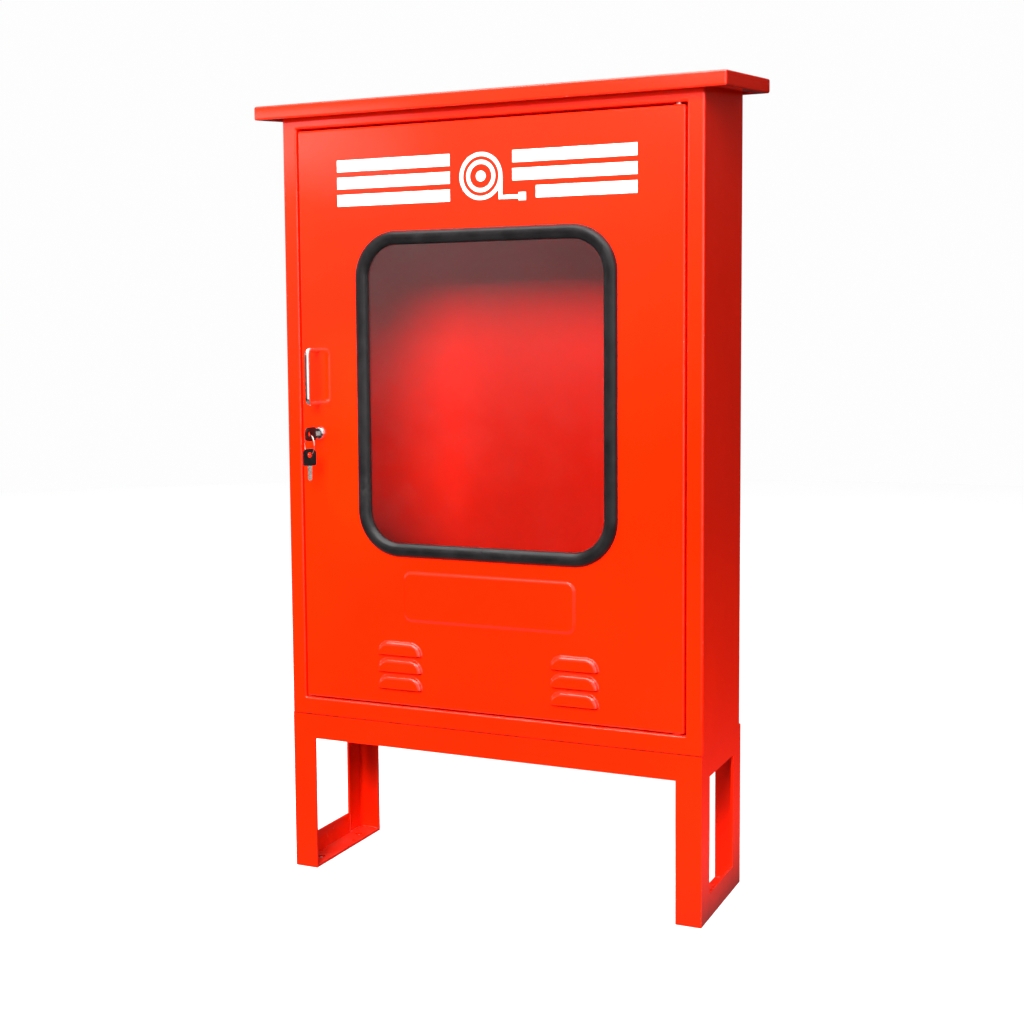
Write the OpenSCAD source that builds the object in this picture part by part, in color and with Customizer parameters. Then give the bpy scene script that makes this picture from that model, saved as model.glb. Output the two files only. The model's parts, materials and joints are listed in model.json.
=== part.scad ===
// Free-standing outdoor standpipe cabinet: a folded sheet-metal box with a
// flush glazed door, a pitched roof cap and an angle-section floor stand.
// Millimetres. +Z up, the door faces -Y. The origin is on the floor, in the
// middle of the four floor anchor holes. Inside the modules y is measured
// back from the front face of the box, and place() moves it to the origin.

/* [Cabinet body] */
// Outside width of the sheet-metal box
body_w = 698; // [680:1:720]
// Outside depth of the sheet-metal box
body_d = 194; // [190:1:196]
// Height of the box front, from the stand to the edge of the roof cap
body_h = 952.5; // [940:0.5:980]
// Thickness of the folded sheet
sheet = 1.5; // [1.2:0.1:1.6]

/* [Roof cap] */
// Pitch of the roof, rising towards the back, in degrees
roof_pitch = 6; // [4:0.1:8]
// Height of the roof cap's rim
roof_rim = 21.5; // [20:0.1:28]
// How far the roof cap stands out over each side
roof_side = 38; // [30:1:44]
// How far the roof cap stands out over the door
roof_front = 22; // [18:1:26]
// How far the roof cap stands out at the back
roof_rear = 13.6; // [12:0.2:18]

/* [Stand] */
// Height of the stand under the box
stand_h = 256; // [240:1:300]
// Outside width of the stand
stand_w = 696; // [678:1:700]
// Outside depth of the stand
stand_d = 202; // [200:1:206]
// Leg length of the stand's steel angle
angle_w = 40; // [36:1:42]
// Wall thickness of the stand's steel angle
angle_t = 4; // [3:0.5:5]
// Floor anchor holes, distance between them across the width
anchor_x = 652; // [648:1:656]
// Floor anchor holes, distance between them front to back
anchor_y = 120; // [100:1:130]
// Floor anchor hole diameter
anchor_hole = 12; // [8:0.5:14]

/* [Door] */
// Width of the visible frame beside the door
frame_side = 25.5; // [24:0.5:28]
// Height of the visible frame below the door
frame_bottom = 27; // [25:0.5:30]
// Height of the visible frame above the door
frame_top = 16.5; // [15:0.5:20]
// Gap between door and frame, at the sides and the bottom
door_gap = 3; // [2.6:0.1:3.4]
// Gap between door and frame, at the top
head_gap = 4; // [3:0.1:4.5]
// Depth of the door's folded edge
door_depth = 20; // [18:0.5:20]
// Outside radius of the sheet bends
bend_r = 3; // [2.5:0.1:3.5]

/* [Window] */
// Half width of the window, at the middle of the rubber section
win_w = 207.75; // [190:0.25:210]
// Half height of the window, at the middle of the rubber section
win_h = 242.25; // [220:0.25:244]
// Corner radius at the middle of the rubber section
win_r = 61.25; // [40:0.25:70]
// Height of the window's middle above the floor
win_z = 775; // [770:1:780]
// Width of the rubber section, seen from the front
rubber_w = 21.5; // [19:0.5:22]
// How far the rubber stands out from the door
rubber_h = 9.5; // [8:0.5:10]

/* [Louvres] */
// Width of one louvre
louvre_w = 80; // [70:1:90]
// Height of one louvre
louvre_h = 21; // [18:0.5:22]
// How far a louvre stands out
louvre_d = 7; // [5:0.5:8]
// Distance from one louvre to the next
louvre_pitch = 27; // [26:0.5:28]
// Distance of each column of louvres from the middle of the door
louvre_x = 148.5; // [130:0.5:160]

/* [Handle, lock and keys] */
// Distance of the handle from the middle of the door
handle_x = 291; // [288:1:292]
// Height of the middle of the handle above the floor
handle_z = 803; // [795:1:810]
// Distance between the handle's two feet
handle_cc = 84; // [70:1:90]
// Distance from the door to the middle of the grip
handle_out = 29.5; // [26:0.5:34]
// Diameter of the handle's rod
handle_rod = 8; // [7:0.5:9]
// Distance of the lock from the middle of the door
lock_x = 288; // [286:1:290]
// Height of the lock above the floor
lock_z = 713; // [705:1:720]
// Length of a key's plastic head
head_l = 27; // [26:0.5:28]
// Width of a key's plastic head
head_w = 22; // [21:0.5:23]
// Radius of the key ring, at the middle of its wire
ring_r = 16.3; // [16:0.1:16.8]
// Wire diameter of the key ring
ring_wire = 1.8; // [1.5:0.1:2]

/* [Wall and pipe interfaces] */
// Wall fixing holes, distance between them across the width
wall_x = 540; // [500:1:580]
// Wall fixing holes, vertical distance between them
wall_z = 700; // [600:1:740]
// Diameter of a wall fixing hole
wall_hole = 9; // [7:0.5:10]
// Bore of the rubber pipe grommet in the bottom
pipe_bore = 77; // [60:0.5:78]
// Distance of the pipe grommet from the middle of the cabinet
pipe_x = 190; // [150:1:240]

/* [Hidden] */
$fn = 64;

red = "orangered";
e = 0.5;                                   // run-out of a cutting tool
t = sheet;
xo = body_w/2;                             // outer face of a side
xi = xo - t;                               // inner face of a side
z0 = stand_h;                              // underside of the box
zr = stand_h + body_h;                     // rim edge of the roof at the front
tanp = tan(roof_pitch);
zu = zr + roof_rim - t;                    // underside of the roof sheet at y = 0
rg = 0.03;                                 // paint gap under the roof sheet
ox = xo - frame_side;                      // half width of the door opening
oz0 = z0 + frame_bottom;                   // sill of the opening
oz1 = zr - frame_top;                      // head of the opening
dx = ox - door_gap;                        // half width of the door
dz0 = oz0 + door_gap;
dz1 = oz1 - head_gap;
jd = 22;                                   // depth of the jamb
px = dx - 12;                              // hinge axis
py = 9;
pin_r = 4;
bush_r = 5.5;
sx = stand_w/2;
aw = angle_w;
at = angle_t;
bolt_x = 250;
louvre_z0 = stand_h + 110.5;               // lower edge of the top louvre
key_out = 15;                              // gap from the door to a key's head
hole_in = 10;                              // key hole to the end of the head
key_hole = 4.1;
ring_turn = -30;                           // the ring hangs a little turned
ring_y = -(key_out + head_l - hole_in);    // key ring hole, in front of the door
spare_z = lock_z - 2*ring_r;               // hole of the hanging spare key

// ---- placing helpers ----
module place() translate([0, -stand_d/2, 0]) children();
// front-view shape (x across, y up), as a plate from depth y0 to depth y1
module plate(y0, y1) translate([0, y1, 0]) rotate([90, 0, 0]) linear_extrude(y1 - y0) children();
// side-view shape (x = depth, y up), extruded from x0 to x1
module along_x(x0, x1) translate([x0, 0, 0]) rotate([90, 0, 90]) linear_extrude(x1 - x0) children();
// plan shape extruded upwards
module up(za, zb) translate([0, 0, za]) linear_extrude(zb - za) children();
// working plane on the door face, at height z, with +Z standing out of the door
module face(z) translate([0, 0, z]) rotate([90, 0, 0]) children();
// cylinder along +Y
module ycyl(x, y, z, r, h) translate([x, y, z]) rotate([-90, 0, 0]) cylinder(r = r, h = h);
module rect(x0, y0, x1, y1) translate([x0, y0]) square([x1 - x0, y1 - y0]);
module box(a, b) translate(a) cube(b - a);
// quarter of a sheet bend, centred on c, in the quadrant given by q
module bend(c, r, q) translate(c) intersection() {
  difference() { circle(r); circle(r - t); }
  translate([q[0] < 0 ? -r - e : 0, q[1] < 0 ? -r - e : 0]) square(r + e);
}
module round_rect(w, h, r) {
  rect(-w + r, -h, w - r, h);
  rect(-w, -h + r, w, h - r);
  for (i = [-1, 1], j = [-1, 1]) translate([i*(w - r), j*(h - r)]) circle(r);
}
// everything above the underside of the roof sheet
module above_roof() translate([-600, 0, zu - rg]) rotate([roof_pitch, 0, 0]) translate([0, -100, 0]) cube([1200, 500, 200]);
// point on the underside of the roof sheet, local z square to the sheet
module under_roof(x, y) translate([x, y, zu + y*tanp - rg]) rotate([roof_pitch, 0, 0]) children();
// closed sweep of a section round the window: x of the section points outward
module window_sweep(w, h, r) {
  for (k = [0, 1]) rotate(180*k) {
    translate([w, h - r, 0]) rotate([90, 0, 0]) linear_extrude(2*(h - r)) children();
    translate([w - r, h - r, 0]) rotate_extrude(angle = 90) translate([r, 0]) children();
    rotate(90) translate([h, w - r, 0]) rotate([90, 0, 0]) linear_extrude(2*(w - r)) children();
    translate([-(w - r), h - r, 0]) rotate(90) rotate_extrude(angle = 90) translate([r, 0]) children();
  }
}

// ---- box ----
// Plan section of the left side: front flange, side and rear flange
module side_section() {
  rect(-xo + 4, 0, -ox - bend_r, t);
  bend([-xo + 4, 4], 4, [-1, -1]);
  rect(-xo, 4, -xi, body_d - 4);
  bend([-xo + 4, body_d - 4], 4, [-1, 1]);
  rect(-xo + 4, body_d - t, -xo + 17, body_d);
}
// Plan section of the jamb; lip = 1 folds the lip behind the door, -1 away from it
module jamb_section(lip) {
  bend([-ox - bend_r, bend_r], bend_r, [1, -1]);
  rect(-ox - t, bend_r, -ox, jd + t);
  if (lip > 0) rect(-ox - t, jd, -ox + 12.5, jd + t);
  else rect(-ox - 14.5, jd, -ox, jd + t);
}
module side_panel(lip) color(red) difference() {
  union() {
    difference() {
      up(z0, zu + 60) side_section();
      above_roof();
    }
    up(oz0, oz1) jamb_section(lip);
    // ledge that carries the roof cap
    under_roof(-xi - 0.5, 25) translate([0, 0, -t]) cube([22.5, 160, t]);
  }
  for (y = [60, 150]) under_roof(-xi + 12, y) translate([0, 0, -t - e]) cylinder(r = 3.5, h = t + e + 0.2);
  for (z = rivet_z) ycyl(-xo + 10.5, body_d - t - e, z, 1.65, t + 2*e);
}
rivet_z = [for (i = [0:4]) z0 + 50 + i*220];

module left_side_panel() place() side_panel(1);
module right_side_panel() place() mirror([1, 0, 0]) side_panel(-1);

module back_panel() color(red) place() difference() {
  up(z0, zu + 60) rect(-xo + 4, body_d - 2*t, xo - 4, body_d - t);
  above_roof();
  for (x = [-wall_x/2, wall_x/2], z = [zc_wall - wall_z/2, zc_wall + wall_z/2])
    ycyl(x, body_d - 2*t - e, z, wall_hole/2, t + 2*e);
  for (s = [-1, 1], z = rivet_z) ycyl(s*(xo - 10.5), body_d - 2*t - e, z, 1.65, t + 2*e);
}
zc_wall = stand_h + 494;

module bottom_panel() color(red) place() difference() {
  union() {
    box([-xi, 17, z0], [xi, body_d - 6, z0 + t]);
    box([-xi + 4, 17, z0], [xi - 4, body_d - 2*t, z0 + t]);
    for (s = [-1, 1]) box([s < 0 ? -xi : xi - t, 25, z0 + t], [s < 0 ? -xi + t : xi, body_d - 6, z0 + 16]);
    box([-xi + 4, body_d - 3*t, z0 + t], [xi - 4, body_d - 2*t, z0 + 16]);
  }
  stand_bolt_at() translate([0, 0, z0 - e]) cylinder(r = 4.5, h = t + 2*e);
  translate([-pipe_x, body_d/2, z0 - e]) cylinder(r = pipe_bore/2 + 7.5, h = t + 2*e);
}

module head_rail() color(red) place() difference() {
  along_x(-ox - bend_r, ox + bend_r) {
    rect(0, oz1 + bend_r, t, zu + 20);
    bend([bend_r, oz1 + bend_r], bend_r, [-1, -1]);
    rect(bend_r, oz1, jd, oz1 + t);
    rect(jd - t, oz1, jd, oz1 + 12);
  }
  above_roof();
  translate([px, py, oz1 - e]) cylinder(r = 4.5, h = t + 2*e);
}

module sill_rail() color(red) place() difference() {
  along_x(-ox - bend_r, ox + bend_r) {
    rect(0, z0, t, oz0 - bend_r);
    rect(0, z0, 17, z0 + t);
    bend([bend_r, oz0 - bend_r], bend_r, [-1, 1]);
    rect(bend_r, oz0 - t, jd, oz0);
    rect(jd - t, oz0 - 13, jd, oz0);
  }
  translate([px, py, oz0 - t - e]) cylinder(r = 4.5, h = t + 2*e);
}

// Side view of the roof: a parallelogram from depth ya to yb, za and zb above the rim edge
module pitched(ya, yb, za, zb) polygon([[ya, zr + ya*tanp + za], [yb, zr + yb*tanp + za],
                                        [yb, zr + yb*tanp + zb], [ya, zr + ya*tanp + zb]]);
module roof_cap() color(red) place() {
  ya = -roof_front;
  yb = body_d + roof_rear;
  xr = xo + roof_side;
  difference() {
    along_x(-xr, xr) pitched(ya, yb, 0, roof_rim);
    along_x(-xr + t, xr - t) pitched(ya + t, yb - t, t, roof_rim - t);
    along_x(-xo - 18, xo + 18) pitched(-2, body_d + 2, -e, t + e);
  }
}
module roof_studs() color("silver") place()
  for (s = [-1, 1], y = [60, 150]) under_roof(s*(xi - 12), y) translate([0, 0, -18]) cylinder(r = 3, h = 18);
module roof_nuts() color("silver") place()
  for (s = [-1, 1], y = [60, 150]) under_roof(s*(xi - 12), y) difference() {
    union() {
      translate([0, 0, -t - 1.25]) cylinder(r = 6.5, h = 1.2);
      translate([0, 0, -t - 6.2]) cylinder(r = 5.77, h = 5.2, $fn = 6);
    }
    translate([0, 0, -t - 7]) cylinder(r = 3.05, h = 8);
  }
module panel_rivets() color("silver") place()
  for (s = [-1, 1], z = rivet_z) {
    ycyl(s*(xo - 10.5), body_d, z, 3.6, 1.1);
    ycyl(s*(xo - 10.5), body_d - 2*t - 1, z, 1.6, 2*t + 1.5);
  }

module pipe_grommet() color("dimgray") place() translate([-pipe_x, body_d/2, z0])
  rotate_extrude() {
    rect(pipe_bore/2, -3.1, pipe_bore/2 + 7.4, t + 3.1);
    rect(pipe_bore/2, -3.1, pipe_bore/2 + 12, 0);
    rect(pipe_bore/2, t, pipe_bore/2 + 12, t + 3.1);
  }
module door_seal() color("dimgray") place() box([-ox + 1.5, door_depth + 0.2, dz0 + 4], [-ox + 11.5, jd, dz1 - 4]);

// ---- hinge parts on the box ----
module upper_hinge_plate() color("silver") place() difference() {
  box([px - 17, bend_r, oz1 + t], [ox, jd - t, oz1 + t + 4]);
  translate([px, py, oz1]) cylinder(r = pin_r + 0.03, h = 8);
}
module lower_hinge_plate() color("silver") place() difference() {
  box([px - 17, bend_r, oz0 - t - 4], [ox, jd - t, oz0 - t]);
  translate([px, py, oz0 - 8]) cylinder(r = pin_r + 0.03, h = 8);
}
module upper_hinge_pin() color("silver") place() translate([px, py, 0]) {
  translate([0, 0, dz1 - 12]) cylinder(r = pin_r, h = oz1 + t + 4 - dz1 + 12.5);
  translate([0, 0, oz1 + t + 4]) cylinder(r = 6, h = 3);
}
module lower_hinge_pin() color("silver") place() translate([px, py, 0]) {
  translate([0, 0, oz0 - t - 4.5]) cylinder(r = pin_r, h = dz0 + 12 - oz0 + t + 4.5);
  translate([0, 0, oz0 - t - 7]) cylinder(r = 6, h = 3);
}
module hinge_thrust_washer() color("ivory") place() translate([px, py, oz0]) difference() {
  cylinder(r = 7, h = door_gap - 0.1);
  translate([0, 0, -e]) cylinder(r = pin_r + 0.05, h = door_gap + 1);
}

// ---- stand ----
module l_section(fx, fy) { // corner of the angle at the origin, legs along fx*x and fy*y
  rect(min(0, fx*aw), min(0, fy*at), max(0, fx*aw), max(0, fy*at));
  rect(min(0, fx*at), min(0, fy*aw), max(0, fx*at), max(0, fy*aw));
}
module leg(s, rear) color(red) place() translate([s*sx, rear ? stand_d : 0, 0])
  linear_extrude(stand_h) l_section(-s, rear ? -1 : 1);
module front_left_leg() leg(-1, false);
module front_right_leg() leg(1, false);
module rear_left_leg() leg(-1, true);
module rear_right_leg() leg(1, true);

module stand_bolt_at() for (s = [-1, 1], y = [24, stand_d - 24]) translate([s*bolt_x, y, 0]) children();

module front_stand_rail() color(red) place() difference() {
  along_x(-sx + aw, sx - aw) translate([0, stand_h]) l_section(1, -1);
  stand_bolt_at() translate([0, 0, stand_h - at - e]) cylinder(r = 4.5, h = at + 2*e);
}
module rear_stand_rail() color(red) place() difference() {
  along_x(-sx + aw, sx - aw) translate([stand_d, stand_h]) l_section(-1, -1);
  stand_bolt_at() translate([0, 0, stand_h - at - e]) cylinder(r = 4.5, h = at + 2*e);
}
module left_stand_rail() color(red) place() translate([-sx, stand_d - aw, stand_h]) rotate([90, 0, 0])
  linear_extrude(stand_d - 2*aw) l_section(1, -1);
module right_stand_rail() color(red) place() translate([sx, stand_d - aw, stand_h]) rotate([90, 0, 0])
  linear_extrude(stand_d - 2*aw) l_section(-1, -1);

module foot_runner(s) color(red) place() difference() {
  union() {
    box([s < 0 ? -sx : sx - at, aw, 0], [s < 0 ? -sx + at : sx, stand_d - aw, aw - 2]);
    box([s < 0 ? -sx + at : sx - aw, at, 0], [s < 0 ? -sx + aw : sx - at, stand_d - at, at]);
  }
  for (y = [-1, 1]) translate([s*anchor_x/2, stand_d/2 + y*anchor_y/2, -e]) cylinder(r = anchor_hole/2, h = at + 2*e);
}
module left_foot_runner() foot_runner(-1);
module right_foot_runner() foot_runner(1);

module stand_bolts() color("silver") place() stand_bolt_at() {
  translate([0, 0, z0 - 16]) cylinder(r = 4, h = 16 + t + 2);
  translate([0, 0, z0 + t + 1.6]) cylinder(r = 7.5, h = 5.3, $fn = 6);
}
module stand_washers() color("silver") place() stand_bolt_at() translate([0, 0, z0 + t]) difference() {
  cylinder(r = 8, h = 1.6);
  translate([0, 0, -e]) cylinder(r = 4.2, h = 3);
}
module stand_nuts() color("silver") place() stand_bolt_at() translate([0, 0, z0 - at - 6.8]) difference() {
  cylinder(r = 7.5, h = 6.8, $fn = 6);
  translate([0, 0, -e]) cylinder(r = 4.05, h = 8);
}

// ---- door ----
// Solid with two rounded front edges each way: o = how far inside the outer skin
module door_block(o) {
  r = bend_r - o;
  c = bend_r;
  intersection() {
    up(dz0 + o, dz1 - o) {
      rect(-dx + c, o, dx - c, door_depth + 2*o);
      rect(-dx + o, c, dx - o, door_depth + 2*o);
      for (s = [-1, 1]) translate([s*(dx - c), c]) circle(r);
    }
    along_x(-dx + o, dx - o) {
      rect(o, dz0 + c, door_depth + 2*o, dz1 - c);
      rect(c, dz0 + o, door_depth + 2*o, dz1 - o);
      for (z = [dz0 + c, dz1 - c]) translate([c, z]) circle(r);
    }
  }
}
// Hooded louvre standing on y = 0: a straight hood with quarter-round ends
module hood_section(h, d) {
  square([h - d, d]);
  intersection() { translate([h - d, 0]) circle(d); square([h, d]); }
}
module hood(w, h, d, skirt) {
  translate([-w/2 + h, 0, 0]) rotate([90, 0, 90]) linear_extrude(w - 2*h) hood_section(h, d);
  for (m = [0, 1]) mirror([m, 0, 0]) translate([w/2 - h, 0, 0]) rotate_extrude(angle = 90) hood_section(h, d);
  if (skirt > 0) rotate([90, 0, 0]) linear_extrude(skirt) {
    translate([-w/2 + d, 0]) square([w - 2*d, d]);
    for (s = [-1, 1]) intersection() { translate([s*(w/2 - d), 0]) circle(d); translate([-w/2, 0]) square([w, d]); }
  }
}
module louvre_at() for (s = [-1, 1], i = [0:2]) face(louvre_z0 - i*louvre_pitch) translate([s*louvre_x, 0, 0]) children();
skin = 1.3;                                // skin of the stretched louvres

module door_panel() color(red) place() difference() {
  union() {
    difference() { door_block(0); door_block(t); }
    // inner lip round the back of the folded edge
    plate(door_depth - t, door_depth) difference() {
      rect(-dx + t, dz0 + t, dx - t, dz1 - t);
      rect(-dx + 14, dz0 + 14, dx - 14, dz1 - 14);
    }
    louvre_at() hood(louvre_w, louvre_h, louvre_d, 0);
    // blank raised plate
    face(badge_z) translate([badge_x, 0, 0]) linear_extrude(2.2) round_rect(145, 39, 14);
  }
  louvre_at() {
    hood(louvre_w - 2*skin, louvre_h - skin, louvre_d - skin, 1);
    translate([-louvre_w/2 + louvre_h, 0, -t - e]) linear_extrude(t + e + 0.2) square([louvre_w - 2*louvre_h, louvre_h - skin]);
    for (m = [0, 1]) mirror([m, 0, 0]) translate([louvre_w/2 - louvre_h, 0, -t - e]) linear_extrude(t + e + 0.2)
      intersection() { circle(louvre_h - skin); square(louvre_h); }
  }
  face(badge_z) translate([badge_x, 0, -t - e]) linear_extrude(t + e + 0.7) round_rect(143.5, 37.5, 12.5);
  face(win_z) translate([0, 0, -t - e]) linear_extrude(t + 2*e) round_rect(win_w + 2.5, win_h + 2.5, win_r + 2.5);
  for (z = [-1, 1]) ycyl(-handle_x, -e, handle_z + z*handle_cc/2, 2.75, t + 2*e);
  ycyl(-lock_x, -e, lock_z, 9.6, t + 2*e);
  translate([px, py, dz0 - e]) cylinder(r = bush_r + 0.02, h = t + 2*e);
  translate([px, py, dz1 - t - e]) cylinder(r = bush_r + 0.02, h = t + 2*e);
}
badge_x = 5;
decal_z = stand_h + 847.5;
badge_z = stand_h + 204;

// Top-hat stiffener behind the skin
module stiffener(z) color(red) place() along_x(-dx + 22, dx - 22) {
  for (s = [-1, 1]) {
    rect(t, z + s*21 - 5, 2*t, z + s*21 + 5);
    rect(t, z + s*15.25 - 0.75, 13, z + s*15.25 + 0.75);
  }
  rect(13 - t, z - 16, 13, z + 16);
}
module upper_stiffener() stiffener(win_z + win_h + rubber_w/2 + 38);
module lower_stiffener() stiffener(louvre_z0 + louvre_h + 9.5 + 14);

// Rubber section: x points away from the window's middle, y points out of the door
module rubber_section() {
  rc = (pow(rubber_w/2, 2) + pow(rubber_h, 2))/(2*rubber_h);
  intersection() { translate([0, rubber_h - rc]) circle(rc); rect(-20, 0, 20, 20); }
  difference() {
    rect(-2.4, -8, 2.4, 0.2);
    rect(-1.6, -8 - e, 1.6, -5);
  }
  difference() { rect(-8.5, -8, 8.5, -3.1); rect(-1.6, -8 - e, 1.6, -5); }
  rect(2.4, -3.2, 8.5, -1.6);
}
module window_gasket() color("black") place() face(win_z) window_sweep(win_w, win_h, win_r) rubber_section();
module gasket_locking_strip() color("dimgray") place() face(win_z) window_sweep(win_w, win_h, win_r) {
  rect(-1.5, -8, 1.5, -5.1);
  rect(-2.6, -9.4, 2.6, -8);
}
module window_pane() color("lightgray", 0.4) place() face(win_z) translate([0, 0, -3]) linear_extrude(2.9)
  round_rect(win_w - 2.5, win_h - 2.5, win_r - 2.5);

// White film marking: a coiled-hose symbol between two sets of plain bars
module door_decal() color("white") place() face(decal_z) linear_extrude(0.25) {
  difference() { circle(35.5); circle(29.5); }
  difference() { circle(24); circle(18); }
  circle(8);
  rect(29.5, -35.5, 62, -29.5);
  rect(29.5, -35.5, 35.5, 0);
  rect(62, -38.5, 74, -26.5);
  for (y = [-26.5, 0, 26.5]) {
    rect(-249, y - 9, -52, y + 9);
    if (y > -20) rect(52, y - 9, 249, y + 9);
  }
  rect(90, -35.5, 249, -17.5);
}

module handle() color("silver") place() translate([-handle_x, 0, handle_z]) {
  r = handle_rod/2;
  k = 8;                                   // radius of the rod's bends
  difference() {
    union() {
      for (s = [-1, 1]) ycyl(0, -handle_out + k, s*handle_cc/2, r, handle_out - k);
      translate([0, -handle_out, -handle_cc/2 + k]) cylinder(r = r, h = handle_cc - 2*k);
      for (m = [0, 1]) mirror([0, 0, m]) translate([0, -handle_out + k, handle_cc/2 - k])
        rotate([0, -90, 0]) rotate([0, 0, -90]) rotate_extrude(angle = 90) translate([k, 0]) circle(r);
    }
    for (s = [-1, 1]) ycyl(0, -12, s*handle_cc/2, 2.5, 13);
  }
}
module handle_washers() color("silver") place() for (s = [-1, 1])
  translate([-handle_x, t, handle_z + s*handle_cc/2]) rotate([-90, 0, 0]) difference() {
    cylinder(r = 6, h = 1);
    translate([0, 0, -e]) cylinder(r = 2.7, h = 2);
  }
module handle_screws() color("silver") place() for (s = [-1, 1]) {
  ycyl(-handle_x, -10, handle_z + s*handle_cc/2, 2.48, 10 + t + 1.2);
  ycyl(-handle_x, t + 1, handle_z + s*handle_cc/2, 4.6, 3);
}

module corner_block(za) color("silver") place() difference() {
  box([px - 12.5, bend_r, za], [dx - t, py + 8, za + 12]);
  translate([px, py, za - e]) cylinder(r = bush_r + 0.02, h = 13);
}
module upper_corner_block() corner_block(dz1 - t - 12);
module lower_corner_block() corner_block(dz0 + t);
module upper_hinge_bush() color("ivory") place() translate([px, py, 0]) difference() {
  union() {
    translate([0, 0, dz1 - t - 12]) cylinder(r = bush_r, h = 12 + t + e);
    translate([0, 0, dz1]) cylinder(r = 7.5, h = 1);
  }
  translate([0, 0, dz1 - t - 13]) cylinder(r = pin_r + 0.05, h = 20);
}
module lower_hinge_bush() color("ivory") place() translate([px, py, 0]) difference() {
  translate([0, 0, dz0]) cylinder(r = bush_r, h = 12 + t);
  translate([0, 0, dz0 - e]) cylinder(r = pin_r + 0.05, h = 16);
}

// ---- lock ----
module lock_housing() color("silver") place() translate([-lock_x, 0, lock_z]) rotate([-90, 0, 0]) difference() {
  union() {
    rotate_extrude() polygon([[0, 0], [10.3, 0], [10.3, -1.6], [8.8, -6], [0, -6]]);
    translate([0, 0, -e]) cylinder(r = 9.5, h = 22 + e);
  }
  translate([0, 0, -7]) cylinder(r = 6.05, h = 30);
}
module lock_nut() color("silver") place() translate([-lock_x, t, lock_z]) rotate([-90, 0, 0]) difference() {
  cylinder(r = 13.3, h = 4, $fn = 6);
  translate([0, 0, -e]) cylinder(r = 9.55, h = 6);
}
module lock_plug() color("silver") place() translate([-lock_x, 0, lock_z]) rotate([-90, 0, 0]) difference() {
  union() {
    translate([0, 0, -7.6]) cylinder(r = 7.4, h = 1.5);
    translate([0, 0, -6.5]) cylinder(r = 6, h = 30.4);
    translate([-3.5, -3.5, 23]) cube([7, 7, 3.2]);
  }
  translate([-1.1, -3.75, -9]) cube([2.2, 7.5, 23]);
  translate([0, 0, 17]) cylinder(r = 2.5, h = 10);
}
module lock_cam() color("silver") place() translate([-lock_x, 26, lock_z]) rotate([90, 0, 0]) linear_extrude(2) difference() {
  union() {
    circle(9.5);
    rect(-8, -26, 8, 0);
    translate([0, -24]) circle(8);
  }
  rect(-3.55, -3.55, 3.55, 3.55);
}
module cam_screw() color("silver") place() translate([-lock_x, 0, lock_z]) {
  ycyl(0, 18, 0, 2.45, 8.7);
  ycyl(0, 26.2, 0, 5.5, 2.6);
}

// ---- keys ----
// Flat key, tip along -x, head along +x, ring hole at the origin; x-y plane, thickness th
module key_plate(th) translate([0, 0, -th/2]) linear_extrude(th) children();
module head_shape() {
  l = head_l;
  w = head_w/2;
  translate([hole_in, 0]) {
    rect(-8, -w + 8, 0, w - 8);
    rect(-l + 3, -w, -8, w);
    rect(-l, -w + 3, -8, w - 3);
    for (s = [-1, 1]) {
      translate([-8, s*(w - 8)]) circle(8);
      translate([-l + 3, s*(w - 3)]) circle(3);
    }
  }
}
head_root = hole_in - head_l;              // blade side of the head
module blade_shape(l) {
  difference() {
    rect(head_root - l + 3, -3.5, head_root + 9, 3.5);
    for (i = [0:3]) translate([head_root - l + 6 + i*4.2, 4.1 + (i % 2)*0.5]) rotate(45) square(1.9, center = true);
  }
  translate([head_root - l, 0]) polygon([[0, -1], [3, -3.5], [3, 3.5], [0, 1]]);
}
module key_metal(l) color("silver") key_plate(2) blade_shape(l);
module key_plastic() color("black") difference() {
  key_plate(3) head_shape();
  key_plate(2) rect(head_root - 1, -3.5, head_root + 9, 3.5);
  key_plate(5) circle(key_hole);
}
// in the lock: the flat is upright, the head points out of the door
module in_lock() place() translate([-lock_x, ring_y, lock_z]) rotate([0, 0, -90]) rotate([90, 0, 0]) children();
// spare: hangs from the ring, tip down
module hanging() place() translate([-lock_x, ring_y, spare_z]) rotate([0, 0, ring_turn]) rotate([0, -90, 0]) children();
module key_blade() in_lock() key_metal(key_out + 12);
module key_head() in_lock() key_plastic();
module spare_key_blade() hanging() key_metal(24);
module spare_key_head() hanging() key_plastic();
module key_ring() color("silver") place() translate([-lock_x, ring_y, lock_z - ring_r]) rotate([0, 0, ring_turn])
  rotate([90, 0, 0]) rotate_extrude() translate([ring_r, 0]) circle(ring_wire/2);

left_side_panel();
right_side_panel();
back_panel();
bottom_panel();
head_rail();
sill_rail();
roof_cap();
roof_studs();
roof_nuts();
panel_rivets();
pipe_grommet();
door_seal();
upper_hinge_plate();
lower_hinge_plate();
upper_hinge_pin();
lower_hinge_pin();
hinge_thrust_washer();
front_left_leg();
front_right_leg();
rear_left_leg();
rear_right_leg();
front_stand_rail();
rear_stand_rail();
left_stand_rail();
right_stand_rail();
left_foot_runner();
right_foot_runner();
stand_bolts();
stand_washers();
stand_nuts();
door_panel();
upper_stiffener();
lower_stiffener();
window_gasket();
gasket_locking_strip();
window_pane();
door_decal();
handle();
handle_washers();
handle_screws();
upper_corner_block();
lower_corner_block();
upper_hinge_bush();
lower_hinge_bush();
lock_housing();
lock_nut();
lock_plug();
lock_cam();
cam_screw();
key_blade();
key_head();
key_ring();
spare_key_blade();
spare_key_head();
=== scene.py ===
import json
import math

import bmesh
import bpy
from mathutils import Matrix, Vector, noise
from mathutils.geometry import delaunay_2d_cdt


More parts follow.
